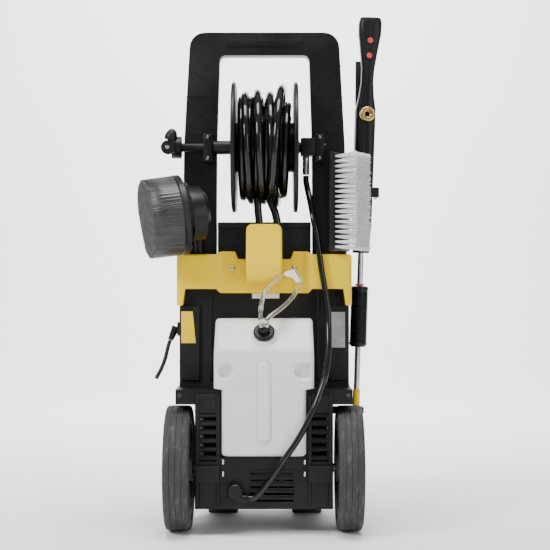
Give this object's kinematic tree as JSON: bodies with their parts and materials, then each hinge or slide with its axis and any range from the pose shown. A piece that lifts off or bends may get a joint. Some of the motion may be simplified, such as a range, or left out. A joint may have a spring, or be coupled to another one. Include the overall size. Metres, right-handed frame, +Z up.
{
  "type": "pressure washer",
  "caption": "Upright wheeled electric pressure washer with a hose reel, detergent tank, spray gun with lance, rotary and flat wash brushes.",
  "frame": {"origin": "centre of the machine's footprint box, on the floor", "axes": "+Z up; the wheels, tank and hose hook face -Y; +X is the gun's side"},
  "size_m": [0.4446, 0.365, 0.927],
  "materials": {
    "casing": "satin moulded black",
    "black_plastic": "satin black",
    "yellow_plastic": "satin yellow",
    "tank": "translucent white polyethylene",
    "tyre": "scuffed rubber",
    "rim": "grey-blue plastic",
    "rubber": "matt rubber",
    "steel": "bright steel",
    "brass": "turned brass",
    "cast": "cast",
    "hose": "glossy black hose",
    "clear": "clear flexible tube",
    "red": "red plastic",
    "white_bristle": "nylon bristle",
    "black_bristle": "nylon bristle",
    "cord": "matt black sheath"
  },
  "bodies": {
    "machine": {"rear_shell": "casing", "front_shell": "casing", "handle_frame": "black_plastic", "handle_grip": "black_plastic", "bearing_left": "black_plastic", "bearing_right": "black_plastic", "swivel_block": "black_plastic", "outlet_fitting": "black_plastic", "switch_box": "black_plastic", "tube_grommet": "black_plastic", "cord_gland": "black_plastic", "gun_clip": "black_plastic", "lance_cup": "black_plastic", "rotary_brush_housing": "black_plastic", "flat_brush_back": "black_plastic", "accessory_bracket": "yellow_plastic", "detergent_tank": "tank", "front_foot_left": "rubber", "front_foot_right": "rubber", "axle": "steel", "motor": "steel", "hose_ferrule": "steel", "bracket_screw_left": "steel", "bracket_screw_right": "steel", "water_inlet": "brass", "pump": "cast", "hose_tail": "hose", "link_hose": "hose", "detergent_tube": "clear", "flat_brush_bristles": "white_bristle", "power_cord": "cord"},
    "reel": {"reel_shaft": "black_plastic", "reel_drum": "black_plastic", "reel_flange_left": "black_plastic", "reel_flange_right": "black_plastic", "hose_winding": "hose", "crank_hub": "black_plastic"},
    "crank": {"crank_arm": "black_plastic", "crank_pin_screw": "steel"},
    "knob": {"crank_knob": "black_plastic"},
    "wheel_left": {"tyre_left": "tyre", "rim_left": "rim", "wheel_cap_left": "black_plastic"},
    "wheel_right": {"tyre_right": "tyre", "rim_right": "rim", "wheel_cap_right": "black_plastic"},
    "fan": {"motor_fan": "black_plastic"},
    "switch": {"switch_knob": "yellow_plastic"},
    "cap": {"tank_cap": "black_plastic"},
    "gun": {"gun_shell_left": "black_plastic", "gun_shell_right": "black_plastic", "gun_inlet": "brass", "lance_coupling": "black_plastic", "lance_tube": "steel", "lance_ring": "red", "lance_grip": "black_plastic"},
    "trigger": {"trigger": "black_plastic"},
    "catch": {"safety_catch": "red"},
    "nozzle": {"lance_nozzle": "yellow_plastic"},
    "brush_head": {"rotary_brush_head": "black_bristle"}
  },
  "joints": [
    {"name": "wheel_left_spin", "type": "hinge", "parent": "machine", "child": "wheel_left", "pos_m": [-0.1447, -0.0715, 0.111], "axis": [1, 0, 0], "continuous": true},
    {"name": "wheel_right_spin", "type": "hinge", "parent": "machine", "child": "wheel_right", "pos_m": [0.1583, -0.0715, 0.111], "axis": [1, 0, 0], "continuous": true},
    {"name": "reel_spin", "type": "hinge", "parent": "machine", "child": "reel", "pos_m": [0.0068, -0.0315, 0.686], "axis": [1, 0, 0], "continuous": true},
    {"name": "crank_fold", "type": "hinge", "parent": "reel", "child": "crank", "pos_m": [-0.1657, -0.0655, 0.683], "axis": [0, -1, 0], "range_deg": [0, 106]},
    {"name": "knob_spin", "type": "hinge", "parent": "crank", "child": "knob", "pos_m": [-0.1657, -0.0655, 0.683], "axis": [0.28, 0, 0.96], "continuous": true},
    {"name": "fan_spin", "type": "hinge", "parent": "machine", "child": "fan", "pos_m": [0.0068, 0.0485, 0.3], "axis": [0, 0, 1], "continuous": true},
    {"name": "switch_turn", "type": "hinge", "parent": "machine", "child": "switch", "pos_m": [0.0068, 0.101, 0.49], "axis": [0, 0.8826, 0.4702], "range_deg": [0, 90]},
    {"name": "cap_turn", "type": "hinge", "parent": "machine", "child": "cap", "pos_m": [0.0068, -0.106, 0.3468], "axis": [0, -0.7518, 0.6594], "range_deg": [0, 270]},
    {"name": "gun_lift", "type": "slide", "parent": "machine", "child": "gun", "axis": [0.0313, 0.0022, 0.9995], "range_m": [0, 0.12]},
    {"name": "trigger_pull", "type": "hinge", "parent": "gun", "child": "trigger", "pos_m": [0.1922, 0.05595, 0.76099], "axis": [0.9971, 0.0697, -0.0314], "range_deg": [0, 11], "stiffness_Nm_per_rad": 0.6, "springref_deg": -5.73},
    {"name": "catch_flip", "type": "hinge", "parent": "trigger", "child": "catch", "pos_m": [0.19401, 0.05708, 0.82096], "axis": [0.9971, 0.0697, -0.0314], "range_deg": [0, 60]},
    {"name": "nozzle_turn", "type": "hinge", "parent": "gun", "child": "nozzle", "pos_m": [0.17719, 0.02734, 0.22126], "axis": [0.0313, 0.0022, 0.9995], "range_deg": [0, 90]},
    {"name": "brush_spin", "type": "hinge", "parent": "machine", "child": "brush_head", "pos_m": [-0.2012, -0.112, 0.552], "axis": [0.952, 0.2752, 0.1339], "continuous": true}
  ]
}
